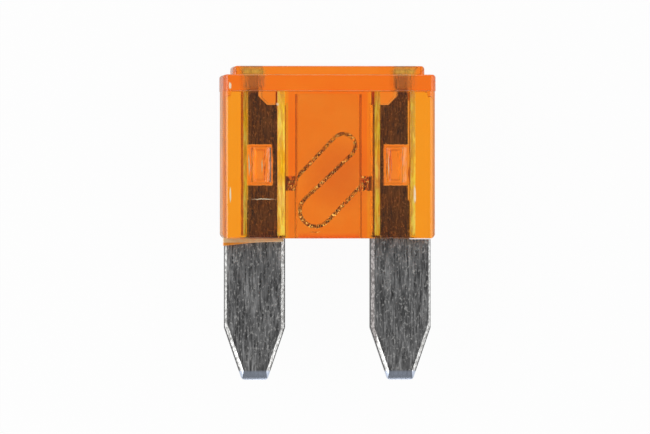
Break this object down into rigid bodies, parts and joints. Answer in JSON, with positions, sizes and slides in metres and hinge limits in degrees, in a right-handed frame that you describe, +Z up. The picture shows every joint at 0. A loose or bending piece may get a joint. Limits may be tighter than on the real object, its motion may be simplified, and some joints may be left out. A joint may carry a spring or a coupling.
{
  "type": "blade fuse",
  "caption": "Small plug-in blade fuse: a tinted clear plastic body round a stamped zinc strip whose blades are joined by a thin folded link.",
  "frame": {"origin": "centre of the rectangle that the part covers on the surface it lies on, at that surface", "axes": "+X across the two blades, to the right as seen from the front; +Y from the blade tips to the crown; +Z up, out of the front face"},
  "size_m": [0.011, 0.0162, 0.0036],
  "materials": {
    "housing": "clear-tinted orange moulding, polished",
    "zinc": "zinc strip with fine drawn lines along the blades and bright coined bevels"
  },
  "bodies": {
    "root": {"housing": "housing", "fuse_element": "zinc"}
  },
  "joints": []
}
